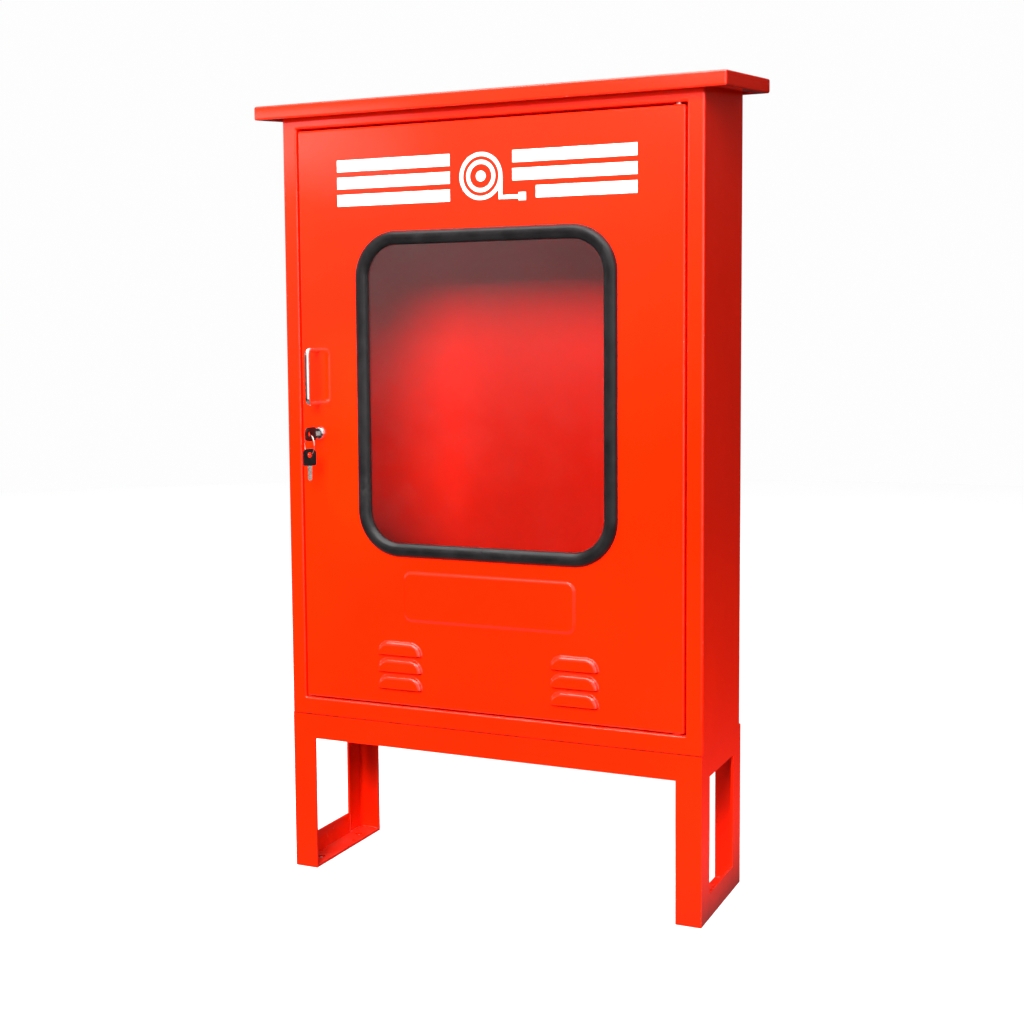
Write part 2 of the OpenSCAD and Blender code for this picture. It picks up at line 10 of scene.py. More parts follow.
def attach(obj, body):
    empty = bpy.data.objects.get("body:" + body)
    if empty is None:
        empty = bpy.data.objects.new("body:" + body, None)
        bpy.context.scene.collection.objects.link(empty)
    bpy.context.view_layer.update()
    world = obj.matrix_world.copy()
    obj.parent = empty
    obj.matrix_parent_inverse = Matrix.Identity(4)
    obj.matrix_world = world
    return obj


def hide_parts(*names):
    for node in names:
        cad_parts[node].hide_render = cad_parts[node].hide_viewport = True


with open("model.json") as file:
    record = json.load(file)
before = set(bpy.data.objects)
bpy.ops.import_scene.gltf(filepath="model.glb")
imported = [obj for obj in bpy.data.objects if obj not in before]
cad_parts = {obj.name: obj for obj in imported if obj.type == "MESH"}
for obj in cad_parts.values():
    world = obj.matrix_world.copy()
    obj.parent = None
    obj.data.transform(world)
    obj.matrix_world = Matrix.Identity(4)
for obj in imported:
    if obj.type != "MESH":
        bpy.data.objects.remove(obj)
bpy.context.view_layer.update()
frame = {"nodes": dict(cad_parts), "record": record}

NODES = frame["nodes"]
scene = bpy.context.scene

# Millimetres, x across, z up, y = depth behind the front face of the box
D0 = 101.0
TANP = math.tan(math.radians(6.0))
ZR = 1208.5                 # rim edge of the roof cap at y = 0


def P(x, y, z):
    return Vector((x * 0.001, (y - D0) * 0.001, z * 0.001))


# ---------------------------------------------------------------- node helpers
class Tree:
    def __init__(self, name, slot_name=None):
        self.mat = bpy.data.materials.new(name)
        self.mat.use_nodes = True
        self.t = self.mat.node_tree
        self.t.nodes.clear()
        self.out = self.t.nodes.new("ShaderNodeOutputMaterial")

    def node(self, kind, **values):
        n = self.t.nodes.new(kind)
        for k, v in values.items():
            if k.startswith("i_"):
                n.inputs[k[2:].replace("_", " ")].default_value = v
            else:
                setattr(n, k, v)
        return n

    def link(self, a, b):
        self.t.links.new(a, b)

    def put(self, sock, value):
        if hasattr(value, "is_output"):
            self.link(value, sock)
        else:
            sock.default_value = value

    def math(self, op, a, b=0.0, c=None, clamp=False):
        n = self.node("ShaderNodeMath", operation=op, use_clamp=clamp)
        self.put(n.inputs[0], a)
        self.put(n.inputs[1], b)
        if c is not None:
            self.put(n.inputs[2], c)
        return n.outputs[0]

    def coords(self):
        return self.node("ShaderNodeTexCoord").outputs["Object"]

    def noise(self, scale, detail=3.0, rough=0.5, vec=None, dist=0.0):
        n = self.node("ShaderNodeTexNoise")
        n.inputs["Scale"].default_value = scale
        n.inputs["Detail"].default_value = detail
        n.inputs["Roughness"].default_value = rough
        n.inputs["Distortion"].default_value = dist
        self.link(vec if vec is not None else self.coords(), n.inputs["Vector"])
        return n.outputs["Fac"]

    def stretch(self, sx, sy, sz, rot=(0, 0, 0)):
        m = self.node("ShaderNodeMapping")
        m.inputs["Scale"].default_value = (sx, sy, sz)
        m.inputs["Rotation"].default_value = rot
        self.link(self.coords(), m.inputs["Vector"])
        return m.outputs[0]

    def ramp(self, fac, a, b, va=0.0, vb=1.0, smooth=True):
        n = self.node("ShaderNodeMapRange")
        n.interpolation_type = "SMOOTHSTEP" if smooth else "LINEAR"
        n.inputs["From Min"].default_value = a
        n.inputs["From Max"].default_value = b
        n.inputs["To Min"].default_value = va
        n.inputs["To Max"].default_value = vb
        self.link(fac, n.inputs["Value"])
        return n.outputs["Result"]

    def mix(self, fac, a, b):
        n = self.node("ShaderNodeMix", data_type="RGBA")
        self.put(n.inputs["Factor"], fac)
        for sock, v in ((n.inputs[6], a), (n.inputs[7], b)):
            self.put(sock, v if hasattr(v, "is_output") else (*v, 1.0))
        return n.outputs[2]

    def bump(self, height, strength, distance, normal=None):
        n = self.node("ShaderNodeBump")
        n.inputs["Strength"].default_value = strength
        n.inputs["Distance"].default_value = distance
        self.link(height, n.inputs["Height"])
        if normal is not None:
            self.link(normal, n.inputs["Normal"])
        return n.outputs["Normal"]

    def edge(self, radius=0.002):
        """About 1 on sharp edges, 0 on flat faces."""
        b = self.node("ShaderNodeBevel", samples=4)
        b.inputs["Radius"].default_value = radius
        g = self.node("ShaderNodeNewGeometry")
        d = self.node("ShaderNodeVectorMath", operation="DOT_PRODUCT")
        self.link(b.outputs["Normal"], d.inputs[0])
        self.link(g.outputs["Normal"], d.inputs[1])
        return self.ramp(d.outputs["Value"], 0.995, 0.86)

    def wear(self):
        return self.node("ShaderNodeAttribute", attribute_name="wear").outputs["Fac"]

    def done(self, shader):
        self.link(shader, self.out.inputs["Surface"])
        return self.mat

    def principled(self, **kw):
        n = self.node("ShaderNodeBsdfPrincipled")
        for k, v in kw.items():
            s = n.inputs[k.replace("_", " ")]
            if isinstance(v, tuple) and len(v) == 3:
                v = (*v, 1.0)
            self.put(s, v)
        return n.outputs["BSDF"]


# ---------------------------------------------------------------- materials
def enamel(name, wave=1.0, chips=1.0):
    """Glossy baked enamel on sheet steel: slow sheet ripple, orange peel, thin spots and chips on the bends, dust on top."""
    m = Tree(name)
    big = m.noise(2.6, 3, 0.55)
    mid = m.noise(21.0, 4, 0.6)
    fine = m.noise(420.0, 2, 0.5)
    tone = m.mix(m.ramp(big, 0.35, 0.68), (0.82, 0.0108, 0.00020), (0.90, 0.0128, 0.00030))
    tone = m.mix(m.ramp(mid, 0.42, 0.75, 0.0, 0.16), tone, (0.74, 0.0098, 0.0002))
    edge = m.math("MAXIMUM", m.edge(0.0022), m.wear())
    # paint pulled thin over the bends: slightly lighter, with a few chips down to primer
    thin = m.math("MULTIPLY", edge, m.ramp(m.noise(34.0, 4, 0.6), 0.40, 0.72))
    tone = m.mix(m.math("MULTIPLY", thin, 0.28), tone, (0.95, 0.030, 0.012))
    chip = m.math("MULTIPLY", m.ramp(m.noise(300.0, 4, 0.65), 0.655, 0.685), m.ramp(m.noise(8.0, 2, 0.5), 0.50, 0.64))
    chip = m.math("MULTIPLY", chip, m.ramp(edge, 0.35, 0.75, 0.0, chips))
    tone = m.mix(chip, tone, (0.80, 0.30, 0.24))
    # dust and dull patches on faces that look up, and grime near the ground
    g = m.node("ShaderNodeNewGeometry")
    s = m.node("ShaderNodeSeparateXYZ")
    m.link(g.outputs["Normal"], s.inputs[0])
    up = m.ramp(s.outputs["Z"], 0.65, 0.97)
    dust = m.math("MULTIPLY", up, m.ramp(m.noise(14.0, 5, 0.62), 0.36, 0.80, 0.05, 0.42))
    tone = m.mix(dust, tone, (0.42, 0.085, 0.060))
    sp = m.node("ShaderNodeSeparateXYZ")
    m.link(m.coords(), sp.inputs[0])
    low = m.ramp(sp.outputs["Z"], 0.070, 0.0, 0.0, 1.0)
    grime = m.math("MULTIPLY", low, m.ramp(m.noise(26.0, 5, 0.65, m.stretch(1.0, 1.0, 0.55)), 0.50, 0.80, 0.0, 0.40))
    tone = m.mix(grime, tone, (0.26, 0.010, 0.004))
    rough = m.ramp(m.noise(11.0, 4, 0.6), 0.3, 0.75, 0.16, 0.28, smooth=False)
    rough = m.math("ADD", rough, m.math("MULTIPLY", dust, 0.5))
    rough = m.math("ADD", rough, m.math("MULTIPLY", grime, 0.35), clamp=True)
    rough = m.math("ADD", rough, m.math("MULTIPLY", chip, 0.3), clamp=True)
    n1 = m.bump(m.noise(7.5, 1, 0.4), 0.22 * wave, 0.0020)
    n2 = m.bump(m.noise(34.0, 1, 0.5), 0.07 * wave, 0.0006, n1)
    n3 = m.bump(fine, 0.06, 0.00010, n2)
    n4 = m.bump(chip, 0.5, 0.00008, n3)
    n4.node.invert = True
    coat = m.ramp(dust, 0.0, 0.4, 1.0, 0.35)
    return m.done(m.principled(Base_Color=tone, Roughness=rough, Specular_IOR_Level=0.04, Normal=n4,
                               Coat_Weight=coat, Coat_Roughness=m.math("ADD", 0.045, m.math("MULTIPLY", rough, 0.16)),
                               Coat_IOR=1.48, Coat_Normal=n4))


def rubber():
    m = Tree("black_rubber_moulded")
    tone = m.mix(m.ramp(m.noise(40.0, 4, 0.6), 0.35, 0.7), (0.0045, 0.0040, 0.0043), (0.0085, 0.0076, 0.0080))
    bloom = m.math("MULTIPLY", m.ramp(m.noise(9.0, 4, 0.6), 0.52, 0.80, 0.0, 0.55), m.ramp(m.noise(160.0, 3), 0.3, 0.7))
    tone = m.mix(bloom, tone, (0.022, 0.020, 0.020))
    tone = m.mix(m.math("MULTIPLY", m.edge(0.0015), 0.3), tone, (0.030, 0.028, 0.028))
    n = m.bump(m.noise(900.0, 3, 0.6), 0.20, 0.0002)
    n = m.bump(m.noise(30.0, 2), 0.10, 0.0010, n)
    rough = m.ramp(m.noise(60.0, 4), 0.3, 0.7, 0.28, 0.42)
    return m.done(m.principled(Base_Color=tone, Roughness=rough, Specular_IOR_Level=0.24, Normal=n))


def chrome():
    m = Tree("chrome_plate_polished")
    tone = m.mix(m.ramp(m.noise(70.0, 3), 0.4, 0.7), (0.70, 0.71, 0.73), (0.60, 0.60, 0.62))
    spot = m.ramp(m.noise(520.0, 4, 0.7), 0.70, 0.78, 0.0, 0.6)
    tone = m.mix(spot, tone, (0.24, 0.18, 0.14))
    tone = m.mix(m.math("MULTIPLY", m.edge(0.0008), 0.35), tone, (0.86, 0.86, 0.87))
    scratch = m.noise(150.0, 3, 0.6, m.stretch(12.0, 12.0, 1.0))
    rough = m.math("ADD", m.ramp(scratch, 0.35, 0.75, 0.055, 0.14), m.math("MULTIPLY", spot, 0.3))
    n = m.bump(scratch, 0.05, 0.0001)
    n = m.bump(m.noise(24.0, 2), 0.10, 0.0006, n)
    return m.done(m.principled(Base_Color=tone, Metallic=1.0, Roughness=rough, Normal=n))


def zinc():
    m = Tree("zinc_plated_steel")
    v = m.node("ShaderNodeTexVoronoi", feature="F1")
    v.inputs["Scale"].default_value = 260.0
    m.link(m.coords(), v.inputs["Vector"])
    s = m.node("ShaderNodeSeparateColor")
    m.link(v.outputs["Color"], s.inputs[0])
    grain = s.outputs[0]
    tone = m.mix(grain, (0.46, 0.47, 0.46), (0.62, 0.63, 0.60))
    tone = m.mix(m.ramp(m.noise(45.0, 5, 0.65), 0.48, 0.72, 0.0, 0.6), tone, (0.50, 0.46, 0.34))
    tone = m.mix(m.math("MULTIPLY", m.edge(0.0008), 0.5), tone, (0.78, 0.78, 0.77))
    rough = m.ramp(grain, 0.0, 1.0, 0.26, 0.44, smooth=False)
    n = m.bump(m.noise(700.0, 3, 0.6), 0.20, 0.0001)
    return m.done(m.principled(Base_Color=tone, Metallic=0.95, Roughness=rough, Normal=n))


def nickel():
    m = Tree("nickel_key_brushed")
    brushed = m.noise(260.0, 3, 0.6, m.stretch(1.0, 1.0, 10.0))
    tone = m.mix(m.ramp(brushed, 0.3, 0.7), (0.46, 0.42, 0.38), (0.58, 0.54, 0.50))
    tone = m.mix(m.math("MULTIPLY", m.edge(0.0005), 0.4), tone, (0.85, 0.80, 0.70))
    rough = m.ramp(brushed, 0.3, 0.7, 0.20, 0.36)
    return m.done(m.principled(Base_Color=tone, Metallic=1.0, Roughness=rough, Normal=m.bump(brushed, 0.15, 0.0001)))


def black_plastic():
    m = Tree("black_plastic_key_head")
    tone = m.mix(m.ramp(m.noise(90.0, 3), 0.35, 0.7), (0.0018, 0.0017, 0.0020), (0.0042, 0.0039, 0.0042))
    tone = m.mix(m.math("MULTIPLY", m.edge(0.0012), m.ramp(m.noise(180.0, 3), 0.4, 0.7)), tone, (0.05, 0.045, 0.045))
    n = m.bump(m.noise(1300.0, 2, 0.6), 0.30, 0.00012)
    return m.done(m.principled(Base_Color=tone, Roughness=m.ramp(m.noise(40.0, 3), 0.3, 0.7, 0.30, 0.46), Specular_IOR_Level=0.14, Normal=n))


def film():
    m = Tree("white_vinyl_film")
    tone = m.mix(m.ramp(m.noise(12.0, 4, 0.6), 0.35, 0.75), (0.86, 0.85, 0.84), (0.80, 0.78, 0.765))
    tone = m.mix(m.math("MULTIPLY", m.edge(0.0010), m.ramp(m.noise(120.0, 3), 0.35, 0.7, 0.1, 0.5)), tone, (0.80, 0.50, 0.46))
    n = m.bump(m.noise(55.0, 3, 0.6), 0.12, 0.0005)
    n = m.bump(m.noise(600.0, 2), 0.08, 0.0001, n)
    return m.done(m.principled(Base_Color=tone, Roughness=m.ramp(m.noise(30.0, 3), 0.3, 0.7, 0.30, 0.42), Specular_IOR_Level=0.35, Normal=n))


def nylon():
    m = Tree("nylon_bush")
    tone = m.mix(m.ramp(m.noise(120.0, 3), 0.35, 0.7), (0.72, 0.69, 0.60), (0.62, 0.57, 0.47))
    tone = m.mix(m.math("MULTIPLY", m.edge(0.001), 0.4), tone, (0.35, 0.30, 0.24))
    # painted over with the door: overspray covers what shows in the gap
    s = m.node("ShaderNodeSeparateXYZ")
    m.link(m.coords(), s.inputs[0])
    spray = m.math("MAXIMUM", m.ramp(s.outputs["Y"], -0.0840, -0.0895), m.ramp(m.noise(90.0, 4, 0.6), 0.46, 0.60, 0.0, 0.85))
    tone = m.mix(spray, tone, (0.62, 0.010, 0.003))
    return m.done(m.principled(Base_Color=tone, Roughness=0.45, Subsurface_Weight=0.1, Normal=m.bump(m.noise(800.0, 2), 0.15, 0.0001)))


def foam():
    m = Tree("closed_cell_seal")
    cells = m.node("ShaderNodeTexVoronoi", feature="F1")
    cells.inputs["Scale"].default_value = 1400.0
    m.link(m.coords(), cells.inputs["Vector"])
    tone = m.mix(m.ramp(m.noise(50.0, 4), 0.35, 0.7), (0.020, 0.020, 0.021), (0.036, 0.035, 0.034))
    tone = m.mix(m.ramp(cells.outputs["Distance"], 0.1, 0.6), (0.010, 0.010, 0.010), tone)
    n = m.bump(cells.outputs["Distance"], 0.5, 0.0004)
    return m.done(m.principled(Base_Color=tone, Roughness=0.85, Normal=n))


def pane():
    """Acrylic sheet: lightly smoked, a little hazy, with fine wiping scratches and dust."""
    m = Tree("acrylic_pane")
    haze = m.ramp(m.noise(7.0, 3, 0.5), 0.30, 0.80, 0.0012, 0.0030)
    wipe = m.ramp(m.noise(60.0, 4, 0.7, m.stretch(1.0, 1.0, 7.0, (0, 0.5, 0))), 0.58, 0.80, 0.0, 0.004)
    veil = m.math("ADD", haze, wipe)
    tr = m.node("ShaderNodeBsdfTransparent")
    m.put(tr.inputs["Color"], m.mix(m.ramp(m.noise(3.0, 2), 0.3, 0.7), (0.868, 0.852, 0.852), (0.880, 0.866, 0.866)))
    n = m.bump(m.noise(4.0, 1, 0.4), 0.06, 0.0012)
    n = m.bump(m.noise(300.0, 3, 0.6), 0.02, 0.0001, n)
    gl = m.node("ShaderNodeBsdfGlossy")
    m.put(gl.inputs["Color"], (0.95, 0.96, 0.97, 1.0))
    m.put(gl.inputs["Roughness"], m.ramp(m.noise(22.0, 4), 0.3, 0.7, 0.07, 0.15))
    m.link(n, gl.inputs["Normal"])
    df = m.node("ShaderNodeBsdfDiffuse")
    m.put(df.inputs["Color"], m.mix(m.noise(80.0, 3), (0.62, 0.60, 0.60), (0.75, 0.73, 0.73)))
    body = m.node("ShaderNodeMixShader")
    m.put(body.inputs[0], veil)
    m.link(tr.outputs[0], body.inputs[1])
    m.link(df.outputs[0], body.inputs[2])
    fr = m.node("ShaderNodeFresnel")
    fr.inputs["IOR"].default_value = 1.49
    m.link(n, fr.inputs["Normal"])
    mix = m.node("ShaderNodeMixShader")
    m.put(mix.inputs[0], m.math("MULTIPLY", fr.outputs[0], 2.6, clamp=True))
    m.link(body.outputs[0], mix.inputs[1])
    m.link(gl.outputs[0], mix.inputs[2])
    return m.done(mix.outputs[0])


def joint_shadow_paint():
    """Painted shadow: a near-black line that stands in for the shade in the groove where two painted edges meet."""
    m = Tree("painted_joint_shadow")
    tone = m.mix(m.ramp(m.noise(55.0, 4, 0.65), 0.38, 0.66), (0.012, 0.0003, 0.0001), (0.060, 0.0010, 0.0003))
    return m.done(m.principled(Base_Color=tone, Roughness=m.ramp(m.noise(90.0, 3), 0.3, 0.7, 0.45, 0.65), Specular_IOR_Level=0.2))


RED = enamel("red_enamel")
RED_FLAT = enamel("red_enamel_section", wave=0.35, chips=0.7)
MATS = {
    "red_paint": RED, "black_rubber": rubber(), "chrome_plate": chrome(), "zinc_steel": zinc(),
    "nickel_key": nickel(), "black_plastic": black_plastic(), "white_film": film(), "nylon": nylon(),
    "seal_foam": foam(), "clear_pane": pane(),
}


# ---------------------------------------------------------------- mesh helpers
class Piece:
    """Verts, faces and a wear value per vertex, gathered before the object is made."""

    def __init__(self):
        self.v, self.f, self.w = [], [], []

    def add(self, verts, faces, wear=0.0):
        b = len(self.v)
        self.v.extend(verts)
        self.f.extend(tuple(b + i for i in f) for f in faces)
        self.w.extend(wear if isinstance(wear, list) else [wear] * len(verts))

    def loft(self, rings, closed=True, wear=None, caps=False):
        n = len(rings[0])
        faces = []
        for i in range(len(rings) - 1):
            for j in range(n if closed else n - 1):
                k = (j + 1) % n
                faces.append((i * n + j, i * n + k, (i + 1) * n + k, (i + 1) * n + j))
        if caps:
            faces.append(tuple(range(n))[::-1])
            faces.append(tuple(range((len(rings) - 1) * n, len(rings) * n)))
        w = [0.0] * (n * len(rings)) if wear is None else [x for x in wear for _ in range(n)]
        self.add([p for r in rings for p in r], faces, w)

    def box(self, a, b):
        x0, y0, z0 = a
        x1, y1, z1 = b
        v = [P(x, y, z) for z in (z0, z1) for x, y in ((x0, y0), (x1, y0), (x1, y1), (x0, y1))]
        self.add(v, [(0, 3, 2, 1), (4, 5, 6, 7), (0, 1, 5, 4), (1, 2, 6, 5), (2, 3, 7, 6), (3, 0, 4, 7)])

    def make(self, name, body, slot, mat=None, replaces=(), ref=None, solid=0.0, bevel=0.0, segs=2, limit=50, sharp=40, merge=1.5e-6, flat_bevel=False):
        me = bpy.data.meshes.new(name)
        bm = bmesh.new()
        wl = bm.verts.layers.float.new("wear")
        vs = []
        for p, w in zip(self.v, self.w):
            v = bm.verts.new(p)
            v[wl] = w
            vs.append(v)
        for f in self.f:
            bm.faces.new([vs[i] for i in f])
        bmesh.ops.remove_doubles(bm, verts=bm.verts, dist=merge)
        bmesh.ops.dissolve_degenerate(bm, edges=bm.edges, dist=1e-7)
        bmesh.ops.delete(bm, geom=[v for v in bm.verts if not v.link_faces], context="VERTS")
        bmesh.ops.recalc_face_normals(bm, faces=bm.faces)
        ref = ref if ref is not None else sum((v.co for v in bm.verts), Vector()) / len(bm.verts)
        if sum(f.calc_area() * f.normal.dot(f.calc_center_median() - ref) for f in bm.faces) < 0:
            bmesh.ops.reverse_faces(bm, faces=bm.faces)
        bm.to_mesh(me)
        bm.free()
        return wrap(me, name, body, slot, mat, replaces, solid, bevel, segs, limit, sharp)


def apply_modifiers(ob):
    dg = bpy.context.evaluated_depsgraph_get()
    me = bpy.data.meshes.new_from_object(ob.evaluated_get(dg), preserve_all_data_layers=True, depsgraph=dg)
    ob.modifiers.clear()
    ob.data = me
    return ob


def mark_sharp(me, degrees):
    bm = bmesh.new()
    bm.from_mesh(me)
    limit = math.radians(degrees)
    for e in bm.edges:
        e.smooth = len(e.link_faces) == 2 and e.calc_face_angle(0.0) < limit
    for f in bm.faces:
        f.smooth = True
    bm.to_mesh(me)
    bm.free()


def wrap(me, name, body, slot, mat=None, replaces=(), solid=0.0, bevel=0.0, segs=2, limit=50, sharp=40):
    ob = bpy.data.objects.new(name, me)
    scene.collection.objects.link(ob)
    if solid:
        m = ob.modifiers.new("sheet", "SOLIDIFY")
        m.thickness = solid
        m.offset = -1.0
        m.use_even_offset = True
    if bevel:
        m = ob.modifiers.new("edges", "BEVEL")
        m.width = bevel
        m.segments = segs
        m.limit_method = "ANGLE"
        m.angle_limit = math.radians(limit)
    if solid or bevel:
        apply_modifiers(ob)
    ob.data.materials.clear()
    ob.data.materials.append(mat or MATS[slot])
    mark_sharp(ob.data, sharp)
    w = ob.modifiers.new("normals", "WEIGHTED_NORMAL")
    w.keep_sharp = True
    w.weight = 60
    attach(ob, body)
    if replaces:
        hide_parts(*replaces)
    return ob


def rrect(hw, hh, r, nc, nx, nz, cx=0.0, cz=0.0):
    """Rounded rectangle, counter-clockwise, always 2(nx+nz)+4nc points."""
    pts = []
    r = max(r, 0.0)

    def line(a, b, n):
        for i in range(n):
            t = i / n
            pts.append((cx + a[0] + (b[0] - a[0]) * t, cz + a[1] + (b[1] - a[1]) * t))

    def arc(ox, oz, a0, n):
        for i in range(n):
            a = math.radians(a0 + 90.0 * i / n)
            pts.append((cx + ox + r * math.cos(a), cz + oz + r * math.sin(a)))

    line((hw, -hh + r), (hw, hh - r), nz)
    arc(hw - r, hh - r, 0, nc)
    line((hw - r, hh), (-hw + r, hh), nx)
    arc(-hw + r, hh - r, 90, nc)
    line((-hw, hh - r), (-hw, -hh + r), nz)
    arc(-hw + r, -hh + r, 180, nc)
    line((-hw + r, -hh), (hw - r, -hh), nx)
    arc(hw - r, -hh + r, 270, nc)
    return pts


def inside(poly, x, z):
    hit = False
    j = len(poly) - 1
    for i in range(len(poly)):
        xi, zi = poly[i]
        xj, zj = poly[j]
        if (zi > z) != (zj > z) and x < (xj - xi) * (z - zi) / (zj - zi) + xi:
            hit = not hit
        j = i
    return hit


def unique(loop):
    out = []
    for p in loop:
        if not out or math.hypot(p[0] - out[-1][0], p[1] - out[-1][1]) > 1e-6:
            out.append(p)
    if math.hypot(out[0][0] - out[-1][0], out[0][1] - out[-1][1]) < 1e-6:
        out.pop()
    return out


def flat_region(piece, outer, holes, place, grid=45.0):
    """Triangulates the area between an outline and its holes. place(x, z) gives the 3-D point."""
    outer = unique(outer)
    holes = [unique(h) for h in holes]
    verts, edges = [], []
    for loop in [outer] + holes:
        b = len(verts)
        verts += [Vector(p) for p in loop]
        edges += [(b + i, b + (i + 1) % len(loop)) for i in range(len(loop))]
    xs = [p[0] for p in outer]
    zs = [p[1] for p in outer]
    solid = [Vector(p) for p in verts]
    nx, nz = int((max(xs) - min(xs)) / grid), int((max(zs) - min(zs)) / grid)
    for i in range(1, nx):
        for j in range(1, nz):
            x = min(xs) + (max(xs) - min(xs)) * i / nx
            z = min(zs) + (max(zs) - min(zs)) * j / nz
            if inside(outer, x, z) and not any(inside(h, x, z) for h in holes):
                if min((v.x - x) ** 2 + (v.y - z) ** 2 for v in solid) > 9.0 ** 2:
                    verts.append(Vector((x, z)))
    res = delaunay_2d_cdt(verts, edges, [], 0, 1e-5)
    pts, faces = res[0], res[2]
    kept = []
    for f in faces:
        cx = sum(pts[i][0] for i in f) / len(f)
        cz = sum(pts[i][1] for i in f) / len(f)
        if inside(outer, cx, cz) and not any(inside(h, cx, cz) for h in holes):
            kept.append(tuple(f))
    # the triangulation may return the input points slightly rounded: use the exact ones
    origin = res[3]
    exact = [verts[o[0]] if o else p for o, p in zip(origin, pts)]
    piece.add([place(p[0], p[1]) for p in exact], kept)


# ---------------------------------------------------------------- door panel
LOUVRES = [(sx * 148.5, 366.5 - 27.0 * i) for sx in (-1, 1) for i in range(3)]


def louvre_profile():
    """(s, h): s = distance from the open edge's middle line, h = height above the door."""
    steep, flat = math.radians(76.0), math.radians(2.0)
    pts = []
    for i in range(9):
        a = steep * i / 8
        pts.append((22.0 - 2.4 * math.sin(a), 2.4 * (1 - math.cos(a))))
    s0, h0 = pts[-1]
    for i in range(1, 14):
        a = steep + (flat - steep) * i / 13
        pts.append((s0 - 6.2 * (math.sin(steep) - math.sin(a)), h0 + 6.2 * (math.cos(a) - math.cos(steep))))
    s1, h1 = pts[-1]
    for s in (9.0, 4.5, 0.0):
        pts.append((s, h1 + (s1 - s) * math.tan(flat)))
    return pts


def louvre_contour(s):
    """Front-view line at distance s: left quarter arc, straight, right quarter arc, bottom edge at z 0."""
    na, nl, k = 18, 8, 19.0
    pts = [(-k + s * math.cos(math.radians(180 - 90 * i / na)), s * math.sin(math.radians(180 - 90 * i / na))) for i in range(na)]
    pts += [(-k + 2 * k * i / nl, s) for i in range(nl)]
    pts += [(k + s * math.cos(math.radians(90 - 90 * i / na)), s * math.sin(math.radians(90 - 90 * i / na))) for i in range(na + 1)]
    return pts


def build_door():
    p = Piece()
    cz = 737.0
    prof = louvre_profile()
    holes = [rrect(210.25, 244.75, 63.75, 22, 14, 18, 0.0, 775.0)]
    # louvre hoods
    for lx, lz in LOUVRES:
        rings = []
        wear = []
        for s, h in prof:
            rings.append([P(lx + x, -h, lz + z) for x, z in louvre_contour(s)])
            wear.append(0.55 if 3.0 < h < 6.2 else 0.0)
        p.loft(rings, closed=False, wear=wear)
        outline = [(lx + x, lz + z) for x, z in louvre_contour(prof[0][0])]
        bottom = [(lx + 41.0 - 82.0 * i / 10, lz) for i in range(1, 10)]
        holes.append(outline[:] + bottom)
    # blank pressed plate
    rows = 12
    first = None
    rings, wear = [], []
    for i in range(rows + 1):
        t = i / rows
        d = 1.6 - 5.6 * t
        h = 2.2 * (3 * t * t - 2 * t * t * t)
        line = rrect(145 + d, 39 + d, 14 + d, 12, 24, 8, 5.0, 460.0)
        if first is None:
            first = line
        rings.append([P(x, -h, z) for x, z in line])
        wear.append(0.25 if 0.4 < t < 0.8 else 0.0)
    p.loft(rings, wear=wear)
    flat_region(p, rrect(141, 35, 10, 12, 24, 8, 5.0, 460.0), [], lambda x, z: P(x, -2.2, z), 30)
    holes.append(first)
    for hx, hz, r in ((-288, 713, 9.6), (-291, 845, 2.75), (-291, 761, 2.75)):
        holes.append([(hx + r * math.cos(2 * math.pi * i / 28), hz + r * math.sin(2 * math.pi * i / 28)) for i in range(28)])
    nc, nx, nz = 6, 16, 24

    def ring(inset, y, rc):
        return [P(x, y, z) for x, z in rrect(320.5 - inset, 451 - inset, rc, nc, nx, nz, 0.0, cz)]

    flat_region(p, rrect(317.5, 448, 0.0, nc, nx, nz, 0.0, cz), holes, lambda x, z: P(x, 0.0, z))
    rings, wear = [], []
    for k in range(7):
        a = math.radians(15 * k)
        rings.append(ring(3 * (1 - math.sin(a)), 3 * (1 - math.cos(a)), 2.4 * math.sin(a)))
        wear.append((0.0, 0.35, 0.9, 1.0, 0.9, 0.4, 0.0)[k])
    for y in (8.0, 13.0, 17.5):
        rings.append(ring(0.0, y, 2.4))
        wear.append(0.0)
    for k in range(1, 5):
        a = math.radians(22.5 * k)
        inset = 2.5 * (1 - math.cos(a))
        rings.append(ring(inset, 17.5 + 2.5 * math.sin(a), max(0.4, 2.4 - inset)))
        wear.append(0.6 if k < 4 else 0.0)
    rings.append(ring(14.0, 20.0, 0.4))
    wear.append(0.0)
    p.loft(rings, wear=wear)
    return p.make("door_panel_skin", "door", "red_paint", replaces=("door_panel",), ref=P(0, 120, 737), solid=0.0015,
                  bevel=0.00025, segs=1, limit=60)


